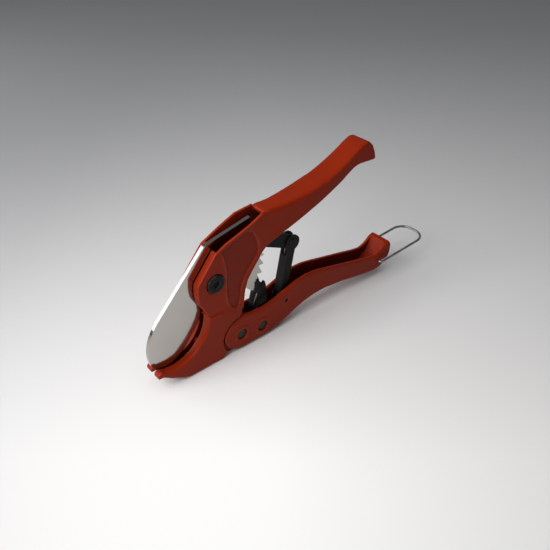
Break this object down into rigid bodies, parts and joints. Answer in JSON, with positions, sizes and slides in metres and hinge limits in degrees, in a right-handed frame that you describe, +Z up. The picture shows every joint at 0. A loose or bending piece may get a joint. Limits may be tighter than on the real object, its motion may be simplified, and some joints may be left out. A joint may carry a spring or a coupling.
{
  "type": "pipe cutter",
  "caption": "Ratcheting one-hand shear for plastic pipe: forked jaw with cradle, toothed blade, pawl-driven lower handle with spring toggle, and a wire bail to lock the handles.",
  "frame": {"origin": "centre of the bounding box at the level of the jaw's flat foot", "axes": "+X from the jaw to the handle ends, +Y across the tool, +Z up from the jaw's foot towards the upper handle"},
  "size_m": [0.2948, 0.0312, 0.1402],
  "materials": {
    "red_paint": "satin red paint on a die casting",
    "blade_steel": "polished blade steel",
    "black_steel": "black oxide with an oily sheen",
    "rivet_steel": "dark steel",
    "zinc_steel": "zinc plated",
    "spring_wire": "drawn steel wire"
  },
  "bodies": {
    "frame": {"body_casting": "red_paint", "pivot_screw": "black_steel", "pivot_nut": "black_steel", "lock_washer": "zinc_steel", "pivot_bush": "zinc_steel", "hinge_rivet": "rivet_steel"},
    "blade": {"blade": "blade_steel", "blade_washers": "zinc_steel"},
    "lower_handle": {"lower_handle": "red_paint", "hinge_washers": "zinc_steel", "pawl_rivet": "rivet_steel", "pawl_spacers": "zinc_steel", "arm_pin": "rivet_steel", "arm_spacers": "zinc_steel"},
    "pawl": {"pawl": "black_steel", "pawl_spring": "spring_wire"},
    "spring_arm": {"spring_arm": "black_steel", "knuckle_pin": "rivet_steel", "knuckle_spring": "spring_wire"},
    "spring_link": {"spring_link": "black_steel"},
    "bail": {"wire_bail": "spring_wire"}
  },
  "joints": [
    {"name": "handle_squeeze", "type": "hinge", "parent": "frame", "child": "lower_handle", "pos_m": [-0.07003, 0, 0.0155], "axis": [0, -1, 0], "range_deg": [0, 30], "stiffness_Nm_per_rad": 0.4, "springref_deg": -45.84},
    {"name": "blade_swing", "type": "hinge", "parent": "frame", "child": "blade", "pos_m": [-0.09053, 0, 0.0735], "axis": [0, -1, 0], "range_deg": [-45, 8]},
    {"name": "pawl_tilt", "type": "hinge", "parent": "lower_handle", "child": "pawl", "pos_m": [-0.04933, 0, 0.0127], "axis": [0, -1, 0], "range_deg": [-39, 0]},
    {"name": "arm_fold", "type": "hinge", "parent": "lower_handle", "child": "spring_arm", "pos_m": [-0.02403, 0, 0.0255], "axis": [0, -1, 0], "range_deg": [-48, 0]},
    {"name": "link_fold", "type": "hinge", "parent": "spring_arm", "child": "spring_link", "pos_m": [-0.01403, 0, 0.0745], "axis": [0, -1, 0], "range_deg": [0, 46]},
    {"name": "bail_swing", "type": "hinge", "parent": "lower_handle", "child": "bail", "pos_m": [0.08447, 0, 0.0175], "axis": [0, -1, 0], "range_deg": [-78, 147]}
  ],
  "couplings": [
    {"joint": "pawl_tilt", "follows": "handle_squeeze", "ratio": -1.29},
    {"joint": "arm_fold", "follows": "handle_squeeze", "ratio": -1.58},
    {"joint": "link_fold", "follows": "handle_squeeze", "ratio": 1.5}
  ]
}
